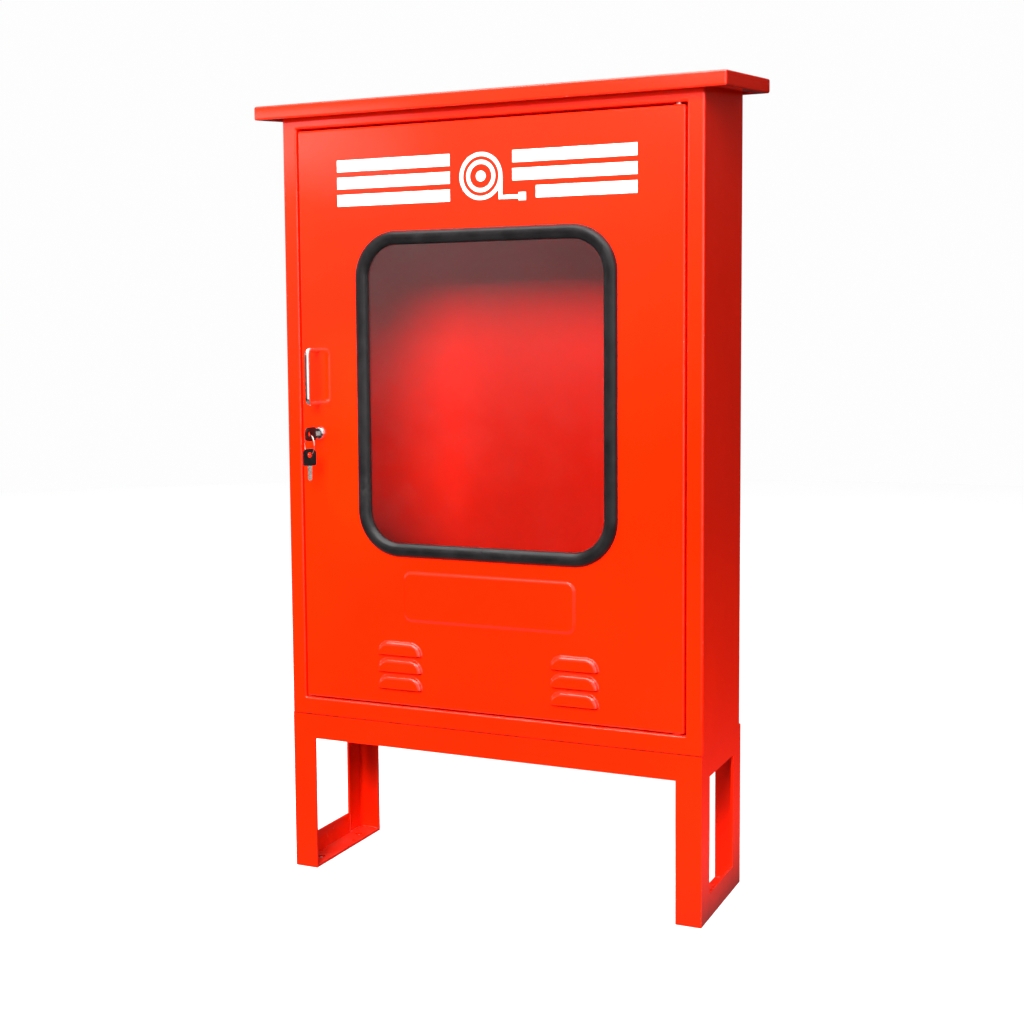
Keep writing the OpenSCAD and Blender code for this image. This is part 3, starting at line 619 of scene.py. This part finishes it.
# ---------------------------------------------------------------- welded box
def build_shell():
    p = Piece()
    levels = [i / 14 for i in range(15)]
    ztop = lambda y: ZR + 20.0 - 0.03 + y * TANP
    nc, nx, nz = 5, 16, 24

    def ring(outset, y, rc):
        return rrect(323.5 + outset, 454.5 + outset, rc, nc, nx, nz, 0.0, 737.5)

    col = [256 + t * (ztop(0) - 256) for t in levels]
    outer = [(345.0, z) for z in col]
    outer += [(345.0 - 690.0 * i / 18, col[-1]) for i in range(1, 18)]
    outer += [(-345.0, z) for z in reversed(col)]
    outer += [(-345.0 + 690.0 * i / 18, 256.0) for i in range(1, 18)]
    flat_region(p, outer, [ring(3.0, 0, 4.5)], lambda x, z: P(x, 0.0, z))
    rings, wear = [], []
    for k in range(7):
        a = math.radians(15 * k)
        o = 3 * (1 - math.sin(a))
        rings.append([P(x, 3 * (1 - math.cos(a)), z) for x, z in ring(o, 0, 1.5 + o)])
        wear.append((0.0, 0.3, 0.8, 1.0, 0.8, 0.3, 0.0)[k])
    for o, y, rc in ((0, 12.0, 1.5), (0, 20.6, 1.5), (0.42, 21.6, 1.5), (1.4, 22.0, 1.5), (12.0, 22.0, 0.6)):
        rings.append([P(x, y, z) for x, z in ring(o, 0, rc)])
        wear.append(0.0)
    p.loft(rings, wear=wear)
    for s in (-1, 1):
        plan = []
        for k in range(9):
            a = math.radians(-90 + 11.25 * k)
            plan.append((345 + 4 * math.cos(a), 4 + 4 * math.sin(a), (0.0, 0.2, 0.7, 1.0, 1.0, 1.0, 0.7, 0.2, 0.0)[k]))
        for y in (30.0, 65.0, 97.0, 130.0, 165.0):
            plan.append((349.0, y, 0.0))
        for k in range(9):
            a = math.radians(11.25 * k)
            plan.append((345 + 4 * math.cos(a), 190 + 4 * math.sin(a), (0.0, 0.2, 0.7, 1.0, 1.0, 1.0, 0.7, 0.2, 0.0)[k]))
        plan.append((332.0, 194.0, 0.0))
        rings = [[P(s * x, y, 256 + t * (ztop(y) - 256)) for t in levels] for x, y, _ in plan]
        p.loft(rings, closed=False, wear=[w for _, _, w in plan])
    return p.make("cabinet_shell", "cabinet", "red_paint", replaces=("left_side_panel", "right_side_panel", "head_rail", "sill_rail"),
                  ref=P(0, 97, 740), solid=0.0015, bevel=0.0003, segs=2, limit=60)


def build_shell_flanges():
    """Door stop on the lock side, roof ledges and the sill's bottom flange."""
    p = Piece()
    p.box((-325.0, 22.0, 283.5), (-311.0, 23.5, 1191.5))
    p.box((-345.0, 1.6, 256.0), (345.0, 16.8, 257.5))
    for s in (-1, 1):
        xs = sorted((s * 347.4, s * 325.5))
        v = []
        for dz in (-1.5, 0.0):
            for x, y in ((xs[0], 25), (xs[1], 25), (xs[1], 185), (xs[0], 185)):
                v.append(P(x, y, ZR + 20.0 - 0.03 + y * TANP + dz))
        p.add(v, [(0, 3, 2, 1), (4, 5, 6, 7), (0, 1, 5, 4), (1, 2, 6, 5), (2, 3, 7, 6), (3, 0, 4, 7)])
    return p.make("shell_flanges", "cabinet", "red_paint", mat=RED_FLAT, bevel=0.0003, segs=2)


# ---------------------------------------------------------------- roof cap
def build_roof():
    p = Piece()
    nc, nx, nz = 7, 22, 10
    cy = 92.8

    def ring(inset, h, rc):
        return [P(x, y, ZR + y * TANP + h) for x, y in rrect(387 - inset, 114.8 - inset, rc, nc, nx, nz, 0.0, cy)]

    flat_region(p, rrect(387 - 3.5, 114.8 - 3.5, 0.6, nc, nx, nz, 0.0, cy), [], lambda x, y: P(x, y, ZR + y * TANP + 21.5), 38)
    rings, wear = [], []
    for k in range(7):
        a = math.radians(15 * k)
        rings.append(ring(3.5 * (1 - math.sin(a)), 18.0 + 3.5 * math.cos(a), 0.6 + 3.2 * math.sin(a)))
        wear.append((0.0, 0.3, 0.8, 1.0, 0.8, 0.3, 0.0)[k])
    rings.append(ring(0.0, 10.5, 3.8))
    wear.append(0.0)
    for k in range(7):
        a = math.radians(15 * k)
        o = 3.0 * (1 - math.cos(a))
        rings.append(ring(o, 3.0 * (1 - math.sin(a)), max(0.8, 3.8 - o)))
        wear.append((0.0, 0.3, 0.8, 1.0, 0.8, 0.3, 0.0)[k])
    rings.append([P(x, y, ZR + y * TANP) for x, y in rrect(367.0, 99.0, 0.5, nc, nx, nz, 0.0, 97.0)])
    wear.append(0.0)
    p.loft(rings, wear=wear)
    return p.make("roof_cap_folded", "cabinet", "red_paint", replaces=("roof_cap",), ref=P(0, 92.8, 1215), solid=0.0015,
                  bevel=0.0003, segs=2, limit=60)


# ---------------------------------------------------------------- stand
STAND = ["front_left_leg", "front_right_leg", "rear_left_leg", "rear_right_leg", "front_stand_rail", "rear_stand_rail",
         "left_stand_rail", "right_stand_rail", "left_foot_runner", "right_foot_runner"]


def clean_copy(node):
    me = NODES[node].data.copy()
    bm = bmesh.new()
    bm.from_mesh(me)
    bmesh.ops.remove_doubles(bm, verts=bm.verts, dist=2e-6)
    bm.to_mesh(me)
    bm.free()
    me.materials.clear()
    for name in ("custom_normal", "sharp_edge", "sharp_face"):
        if name in me.attributes:
            me.attributes.remove(me.attributes[name])
    return me


def build_stand():
    base = bpy.data.objects.new("tmp_stand", clean_copy(STAND[0]))
    scene.collection.objects.link(base)
    for n in STAND[1:]:
        other = bpy.data.objects.new("tmp_" + n, clean_copy(n))
        scene.collection.objects.link(other)
        m = base.modifiers.new("union", "BOOLEAN")
        m.operation = "UNION"
        m.solver = "EXACT"
        m.object = other
        bpy.context.view_layer.update()
        apply_modifiers(base)
        bpy.data.objects.remove(other)
    me = base.data
    bpy.data.objects.remove(base)
    bm = bmesh.new()
    bm.from_mesh(me)
    bmesh.ops.remove_doubles(bm, verts=bm.verts, dist=5e-6)
    bmesh.ops.dissolve_limit(bm, angle_limit=math.radians(1.0), verts=bm.verts, edges=bm.edges)
    bm.to_mesh(me)
    bm.free()
    return wrap(me, "stand_frame", "cabinet", "red_paint", mat=RED_FLAT, replaces=STAND, bevel=0.0013, segs=3, limit=40, sharp=50)


def build_welds():
    """Fillet beads in the stand's inside corners."""
    p = Piece()

    def bead(a, b, n1, n2, r, seed):
        """From a to b, in the corner between two faces with normals n1 and n2."""
        a, b = P(*a), P(*b)
        n1, n2 = Vector(n1), Vector(n2)
        length = (b - a).length
        steps = max(8, int(length / 0.0009))
        rings = []
        for i in range(steps + 1):
            t = i / steps
            end = min(1.0, min(t, 1 - t) * length / 0.0030)
            k = math.sqrt(max(0.02, 1 - (1 - end) ** 2))
            ripple = 1 + 0.11 * math.sin(2 * math.pi * t * length / 0.0026) + 0.16 * noise.noise(Vector((seed, t * length * 260, 0.3)))
            rr = r * 0.001 * k * ripple
            c = a.lerp(b, t)
            ring = []
            for j in range(9):
                ang = math.radians(-14 + 118 * j / 8)
                ring.append(c + (n1 * math.cos(ang) + n2 * math.sin(ang)) * rr * (1.0 if 0 < j < 8 else 1.1))
            ring.append(c - (n1 + n2) * 0.0007)
            rings.append(ring)
        p.loft(rings, caps=True)

    seed = 1.0
    for s in (-1, 1):
        for rear in (0, 1):
            y = 198.0 if rear else 4.0
            ny = (0, -1, 0) if rear else (0, 1, 0)
            d = -1 if rear else 1
            # floor flange to the leg's front and side flanges
            bead((s * 310, y, 4), (s * 342, y, 4), ny, (0, 0, 1), 2.6, seed)
            bead((s * 344, y + d * 4, 4), (s * 344, y + d * 34, 4), (-s, 0, 0), (0, 0, 1), 2.4, seed + 1.3)
            # rail butt joints, inside faces only: the outside is ground flush
            bead((s * 308, y, 218), (s * 308, y, 250), (0, d, 0), (-s, 0, 0), 1.5, seed + 2.7)
            bead((s * 344, (162 if rear else 40), 218), (s * 344, (162 if rear else 40), 250), (-s, 0, 0), (0, d, 0), 1.5, seed + 4.1)
            # runner's upright to the leg's side flange
            bead((s * 344, (162 if rear else 40), 6), (s * 344, (162 if rear else 40), 36), (-s, 0, 0), (0, d, 0), 1.5, seed + 5.9)
            seed += 7.3
    return p.make("stand_welds", "cabinet", "red_paint", mat=RED_FLAT, sharp=70)


def build_joint_shadow():
    """Painted shadow: a thin dark strip in the line between the box and its stand, standing in for the shade in that
    groove.
    """
    p = Piece()
    n = 60
    rings = []
    for i in range(n + 1):
        x = -348.4 + 696.8 * i / n
        h = 0.68 + 0.24 * noise.noise(Vector((x * 0.021, 3.7, 0.0)))
        rings.append([P(x, -0.05, 255.9 - h), P(x, -0.05, 255.9 + h), P(x, 0.5, 255.9 + h), P(x, 0.5, 255.9 - h)])
    p.loft(rings, caps=True)
    # the strip's near-black material is painted shade for the groove, not a colour of the paint
    return p.make("stand_joint_shadow", "cabinet", "red_paint", mat=joint_shadow_paint(), sharp=60)


# ---------------------------------------------------------------- window rubber
def window_path(w, h, r, step=9.0, nc=30):
    """(x, z, nx, nz) round the window; n points away from the middle. Starts at the bottom middle."""
    pts = []

    def line(a, b, n):
        length = math.hypot(b[0] - a[0], b[1] - a[1])
        k = max(2, int(length / step))
        for i in range(k):
            t = i / k
            pts.append((a[0] + (b[0] - a[0]) * t, a[1] + (b[1] - a[1]) * t, n[0], n[1]))

    def arc(ox, oz, a0):
        for i in range(nc):
            a = math.radians(a0 + 90 * i / nc)
            pts.append((ox + r * math.cos(a), oz + r * math.sin(a), math.cos(a), math.sin(a)))

    line((0, -h), (w - r, -h), (0, -1))
    arc(w - r, -h + r, 270)
    line((w, -h + r), (w, h - r), (1, 0))
    arc(w - r, h - r, 0)
    line((w - r, h), (-w + r, h), (0, 1))
    arc(-w + r, h - r, 90)
    line((-w, h - r), (-w, -h + r), (-1, 0))
    arc(-w + r, -h + r, 180)
    line((-w + r, -h), (-0.5, -h), (0, -1))
    return pts


def build_gasket():
    rc = (10.75 ** 2 + 9.4 ** 2) / (2 * 9.4)
    a0 = math.degrees(math.asin((rc - 9.4) / rc))
    sec = []
    for i in range(27):
        a = math.radians(a0 + (180 - 2 * a0) * i / 26)
        sec.append((rc * math.cos(a), 9.4 - rc + rc * math.sin(a)))
    sec += [(-10.2, -0.02), (-2.4, 0.0), (-2.4, -3.1), (-7.7, -3.1), (-8.5, -3.9), (-8.5, -7.2), (-7.7, -8.0), (-1.6, -8.0), (-1.6, -5.0),
            (1.6, -5.0), (1.6, -8.0), (7.7, -8.0), (8.5, -7.2), (8.5, -2.4), (7.7, -1.6), (2.4, -1.6), (2.4, 0.0), (10.2, -0.02)]
    path = window_path(207.75, 242.25, 61.25)
    p = Piece()
    rings = []
    # the joint in the rubber, at the bottom middle: a fine step in the section
    joint = [(-0.5, 1.0), (-0.25, 1.0), (-0.12, 0.955), (0.12, 0.955), (0.25, 1.0)]
    full = [(x, -242.25, 0.0, -1.0, k) for x, k in joint[1:]] + [(x, z, nx, nz, 1.0) for x, z, nx, nz in path[1:]]
    full = [(-0.5, -242.25, 0.0, -1.0, 1.0)] + full
    seen = 0.0
    last = None
    for x, z, nx, nz, k in full:
        if last is not None:
            seen += math.hypot(x - last[0], z - last[1])
        last = (x, z)
        du = 0.30 * noise.noise(Vector((x * 0.010, z * 0.010, 2.0)))
        dv = 1.0 + 0.022 * noise.noise(Vector((x * 0.016, z * 0.016, 7.0)))
        ring = []
        for u, v in sec:
            uu = u * k + (du if v >= 0 else 0.0)
            vv = v * dv * k if v > 0 else v
            ring.append(P(x + nx * uu, -vv, 775.0 + z + nz * uu))
        rings.append(ring)
    p.loft(rings + [rings[0]])
    return p.make("window_rubber", "door", "black_rubber", replaces=("window_gasket",), sharp=42, ref=P(0, 0, 775))


# ---------------------------------------------------------------- handle and ring
def tube(piece, path, side, r, n, caps=True, wear=None):
    """Sweeps a circle along a flat path; side is the direction square to the path's plane. r is a radius or a function of the index."""
    rings = []
    for i, c in enumerate(path):
        a = path[max(0, i - 1)]
        b = path[min(len(path) - 1, i + 1)]
        t = (b - a).normalized()
        s = (side - t * side.dot(t)).normalized()
        nn = t.cross(s)
        rad = r(i) if callable(r) else r
        rings.append([c + (s * math.cos(2 * math.pi * j / n) + nn * math.sin(2 * math.pi * j / n)) * rad for j in range(n)])
    piece.loft(rings, caps=caps)


def build_handle():
    p = Piece()
    out, k, half = 29.5, 8.0, 42.0
    pts = [(0.0 - (out - k) * i / 6, half) for i in range(6)]
    for i in range(17):
        a = math.radians(90 * i / 16)
        pts.append((-(out - k) - k * math.sin(a), half - k + k * math.cos(a)))
    pts += [(-out, (half - k) * (1 - i / 8)) for i in range(1, 9)]
    full = pts + [(y, -z) for y, z in reversed(pts[:-1])]
    path = [P(-291.0, y, 803.0 + z) for y, z in full]
    tube(p, path, Vector((1, 0, 0)), 0.0040, 40)
    return p.make("pull_handle", "door", "chrome_plate", replaces=("handle",), sharp=45)


def build_ring():
    p = Piece()
    c = P(-288.0, -32.0, 696.7)
    rot = Matrix.Rotation(math.radians(-30), 3, "Z")
    path = []
    steps = 2 * 96
    for i in range(int(steps * 0.965) + 1):
        t = i / steps * 2            # turns
        a = 2 * math.pi * t + math.radians(200)
        j = min(1.0, max(0.0, (t - 0.93) / 0.07))
        off = -0.00045 + 0.0009 * (3 * j * j - 2 * j * j * j)
        path.append(c + rot @ Vector((0.0163 * math.cos(a), off, 0.0163 * math.sin(a))))
    side = rot @ Vector((0, 1, 0))
    tube(p, path, side, 0.00044, 10)
    return p.make("split_key_ring", "ring", "nickel_key", replaces=("key_ring",), sharp=60)


build_door()
build_shell()
build_shell_flanges()
build_roof()
build_stand()
build_welds()
build_joint_shadow()
build_gasket()
build_handle()
build_ring()

# ---------------------------------------------------------------- carried-over CAD nodes
BEVEL = {"key_head": 0.7, "spare_key_head": 0.7, "lock_housing": 0.35, "lock_plug": 0.25, "key_blade": 0.12, "spare_key_blade": 0.12,
         "pipe_grommet": 1.0, "window_pane": 0.15, "door_decal": 0.04, "stand_bolts": 0.4, "stand_nuts": 0.4, "roof_nuts": 0.35,
         "door_seal": 1.2, "gasket_locking_strip": 0.3, "lock_nut": 0.4, "lock_cam": 0.4, "panel_rivets": 0.5}
slots = {g["node"]: g["material_slot"] for g in frame["record"]["subparts"]}
for name, ob in NODES.items():
    if ob.hide_render:
        continue
    slot_name = slots[name]
    mat = MATS[slot_name]
    if slot_name == "red_paint" and name not in ("back_panel",):
        mat = RED_FLAT
    for i in range(len(ob.material_slots)):
        ob.material_slots[i].link = "OBJECT"
        ob.material_slots[i].material = mat
    w = ob.modifiers.new("weld", "WELD")
    w.merge_threshold = 2e-6
    b = ob.modifiers.new("edges", "BEVEL")
    b.width = BEVEL.get(name, 0.4) * 0.001
    b.segments = 3 if name in ("key_head", "spare_key_head", "pipe_grommet", "panel_rivets") else 2
    b.limit_method = "ANGLE"
    b.angle_limit = math.radians(32)
    n = ob.modifiers.new("normals", "WEIGHTED_NORMAL")
    n.weight = 60
    n.keep_sharp = False

# ---------------------------------------------------------------- studio
floor_me = bpy.data.meshes.new("floor")
ring_pts = [(7.0 * math.cos(2 * math.pi * i / 64), 7.0 * math.sin(2 * math.pi * i / 64), -0.0005) for i in range(64)]
floor_me.from_pydata(ring_pts, [], [tuple(range(64))])
floor = bpy.data.objects.new("floor", floor_me)
scene.collection.objects.link(floor)
m = Tree("pale_floor")
lp = m.node("ShaderNodeLightPath")
pale = m.mix(m.noise(1.2, 3), (0.80, 0.80, 0.80), (0.84, 0.84, 0.84))
dim = m.mix(lp.outputs["Is Camera Ray"], (0.12, 0.11, 0.11), (0.80, 0.80, 0.80))
mul = m.node("ShaderNodeMix", data_type="RGBA", blend_type="MULTIPLY")
mul.inputs["Factor"].default_value = 1.0
m.link(pale, mul.inputs[6])
m.link(dim, mul.inputs[7])
d = m.node("ShaderNodeBsdfDiffuse")
m.link(mul.outputs[2], d.inputs["Color"])
e = m.node("ShaderNodeEmission")
e.inputs["Color"].default_value = (1, 1, 1, 1)
m.put(e.inputs["Strength"], m.math("MULTIPLY", lp.outputs["Is Camera Ray"], 0.62))
a = m.node("ShaderNodeAddShader")
m.link(d.outputs[0], a.inputs[0])
m.link(e.outputs[0], a.inputs[1])
m.done(a.outputs[0])
floor_me.materials.append(m.mat)
floor.visible_glossy = False

world = bpy.data.worlds.new("studio")
scene.world = world
world.use_nodes = True
wt = world.node_tree
wt.nodes.clear()


def wnode(kind, **kw):
    n = wt.nodes.new(kind)
    for k, v in kw.items():
        setattr(n, k, v)
    return n


def wval(sock, v):
    if hasattr(v, "is_output"):
        wt.links.new(v, sock)
    else:
        sock.default_value = v


def wmath(op, a, b=0.0, clamp=False):
    n = wnode("ShaderNodeMath", operation=op, use_clamp=clamp)
    wval(n.inputs[0], a)
    wval(n.inputs[1], b)
    return n.outputs[0]


def wramp(v, a, b, va=0.0, vb=1.0):
    n = wnode("ShaderNodeMapRange", interpolation_type="SMOOTHSTEP")
    wval(n.inputs["Value"], v)
    for k, x in (("From Min", a), ("From Max", b), ("To Min", va), ("To Max", vb)):
        n.inputs[k].default_value = x
    return n.outputs["Result"]


tc = wnode("ShaderNodeTexCoord")
sep = wnode("ShaderNodeSeparateXYZ")
wt.links.new(tc.outputs["Generated"], sep.inputs[0])
dx, dy, dz = sep.outputs[0], sep.outputs[1], sep.outputs[2]
front = wramp(dy, 0.25, -0.25)                       # 1 for directions in front of the door
back = wramp(dy, 0.2, 0.6)
right = wramp(dx, 0.35, 0.8)
# wall in front on the left: dark at the horizon, fades in above it
side = wramp(dx, -0.30, -0.44, 0.45, 1.0)
wall = wmath("MULTIPLY", wmath("ADD", wmath("MULTIPLY", wramp(dz, -0.085, 0.050, 0.0, 0.26), side), wmath("MULTIPLY", wramp(dz, 0.030, 0.16, 0.0, 0.36), wramp(dx, -0.22, -0.46, 1.0, 0.62))), front)
# the same wall to the right is lit down to the floor
wall_r = wmath("MULTIPLY", wmath("MULTIPLY", wramp(dx, -0.20, 0.10), wramp(dz, -0.30, 0.02)), wmath("MULTIPLY", wramp(dy, -0.30, -0.62), 1.15))
# bright window high on the left
lefty = wmath("MULTIPLY", wramp(dx, -0.45, -0.54), wmath("MULTIPLY", wramp(dz, 0.098, 0.128), wramp(dz, 0.170, 0.148)))
left = wmath("MULTIPLY", wmath("MULTIPLY", lefty, front), 2.0)
# overhead softbox
over = wramp(wmath("ADD", wmath("MULTIPLY", dx, 0.12), wmath("ADD", wmath("MULTIPLY", dy, -0.16), wmath("MULTIPLY", dz, 0.98))), 0.66, 0.88, 0.0, 7.5)
# upright strip on the right
strip = wmath("MULTIPLY", wmath("MULTIPLY", wramp(dx, 0.58, 0.78), wramp(dy, 0.0, -0.22)), wmath("MULTIPLY", wramp(dz, -0.30, 0.05), 2.0))
# wall behind, high enough not to show in the side of the box
rear = wmath("MULTIPLY", wmath("MULTIPLY", back, wramp(dz, 0.40, 0.72)), wramp(dx, -0.35, 0.25, 0.10, 0.9))
# pale floor, only for steep reflections
ground = wramp(dz, -0.22, -0.62, 0.0, 0.34)
glossy = wmath("ADD", wmath("ADD", wmath("ADD", wmath("ADD", wall, wall_r), left), wmath("ADD", over, strip)), wmath("ADD", wmath("ADD", rear, ground), 0.012))
path = wnode("ShaderNodeLightPath")
amb = wramp(dz, -0.2, 0.8, 0.16, 0.50)
pick1 = wnode("ShaderNodeMix", data_type="FLOAT")
wt.links.new(path.outputs["Is Glossy Ray"], pick1.inputs[0])
wt.links.new(amb, pick1.inputs[2])
wt.links.new(glossy, pick1.inputs[3])
pick2 = wnode("ShaderNodeMix", data_type="FLOAT")
wt.links.new(path.outputs["Is Camera Ray"], pick2.inputs[0])
wt.links.new(pick1.outputs[0], pick2.inputs[2])
pick2.inputs[3].default_value = 0.985
bg = wnode("ShaderNodeBackground")
wt.links.new(pick2.outputs[0], bg.inputs["Strength"])
bg.inputs["Color"].default_value = (1, 1, 1, 1)
world.cycles.sampling_method = "NONE"      # the light-path split needs the sky found by the surface's own rays
wo = wnode("ShaderNodeOutputWorld")
wt.links.new(bg.outputs[0], wo.inputs["Surface"])


def area(name, loc, target, size, power, size_y=None, spread=180.0):
    li = bpy.data.lights.new(name, "AREA")
    li.energy = power
    li.shape = "RECTANGLE"
    li.size = size
    li.size_y = size_y or size
    li.spread = math.radians(spread)
    ob = bpy.data.objects.new(name, li)
    ob.location = loc
    ob.rotation_mode = "QUATERNION"
    ob.rotation_quaternion = (Vector(target) - Vector(loc)).to_track_quat("-Z", "Y")
    ob.visible_glossy = False
    ob.visible_camera = False
    scene.collection.objects.link(ob)
    return ob


area("key", (0.12, -3.0, 2.45), (0.0, 0.0, 0.75), 2.2, 400.0, 1.5)
area("side_fill", (2.7, -2.2, 1.0), (0.1, 0.0, 0.6), 1.4, 5.0)
area("left_fill", (-2.7, -2.1, 1.2), (0.0, 0.1, 0.7), 1.5, 75.0)
area("rear_fill", (1.6, 3.2, 2.4), (0.0, 0.0, 0.7), 2.2, 70.0)
area("floor_bounce", (0.62, -0.05, 0.004), (0.62, -0.05, 1.0), 0.36, 3.4, 0.7)
# narrow beam through the window from the viewer's side, onto the left half of the back panel
area("window_beam", (0.52, -1.20, 0.80), (-0.25, 0.085, 0.70), 0.22, 0.25, 0.30, 8.0)

cam_data = bpy.data.cameras.new("camera")
cam_data.sensor_width = 36.0
cam_data.lens = 51.0698
cam_data.shift_x = -0.0519627
cam_data.shift_y = -0.0487695
cam_data.clip_start, cam_data.clip_end = 0.05, 60.0
cam = bpy.data.objects.new("camera", cam_data)
scene.collection.objects.link(cam)
rot = Matrix(((0.92130594, -0.02748584, 0.38786581), (0.38881895, 0.07511713, -0.91824683), (-0.00389658, 0.99679584, 0.07989288)))
cam.matrix_world = Matrix.Translation((0.969883, -2.077119, 0.850428)) @ rot.to_4x4()
scene.camera = cam

scene.view_settings.view_transform = "Standard"
scene.view_settings.look = "None"
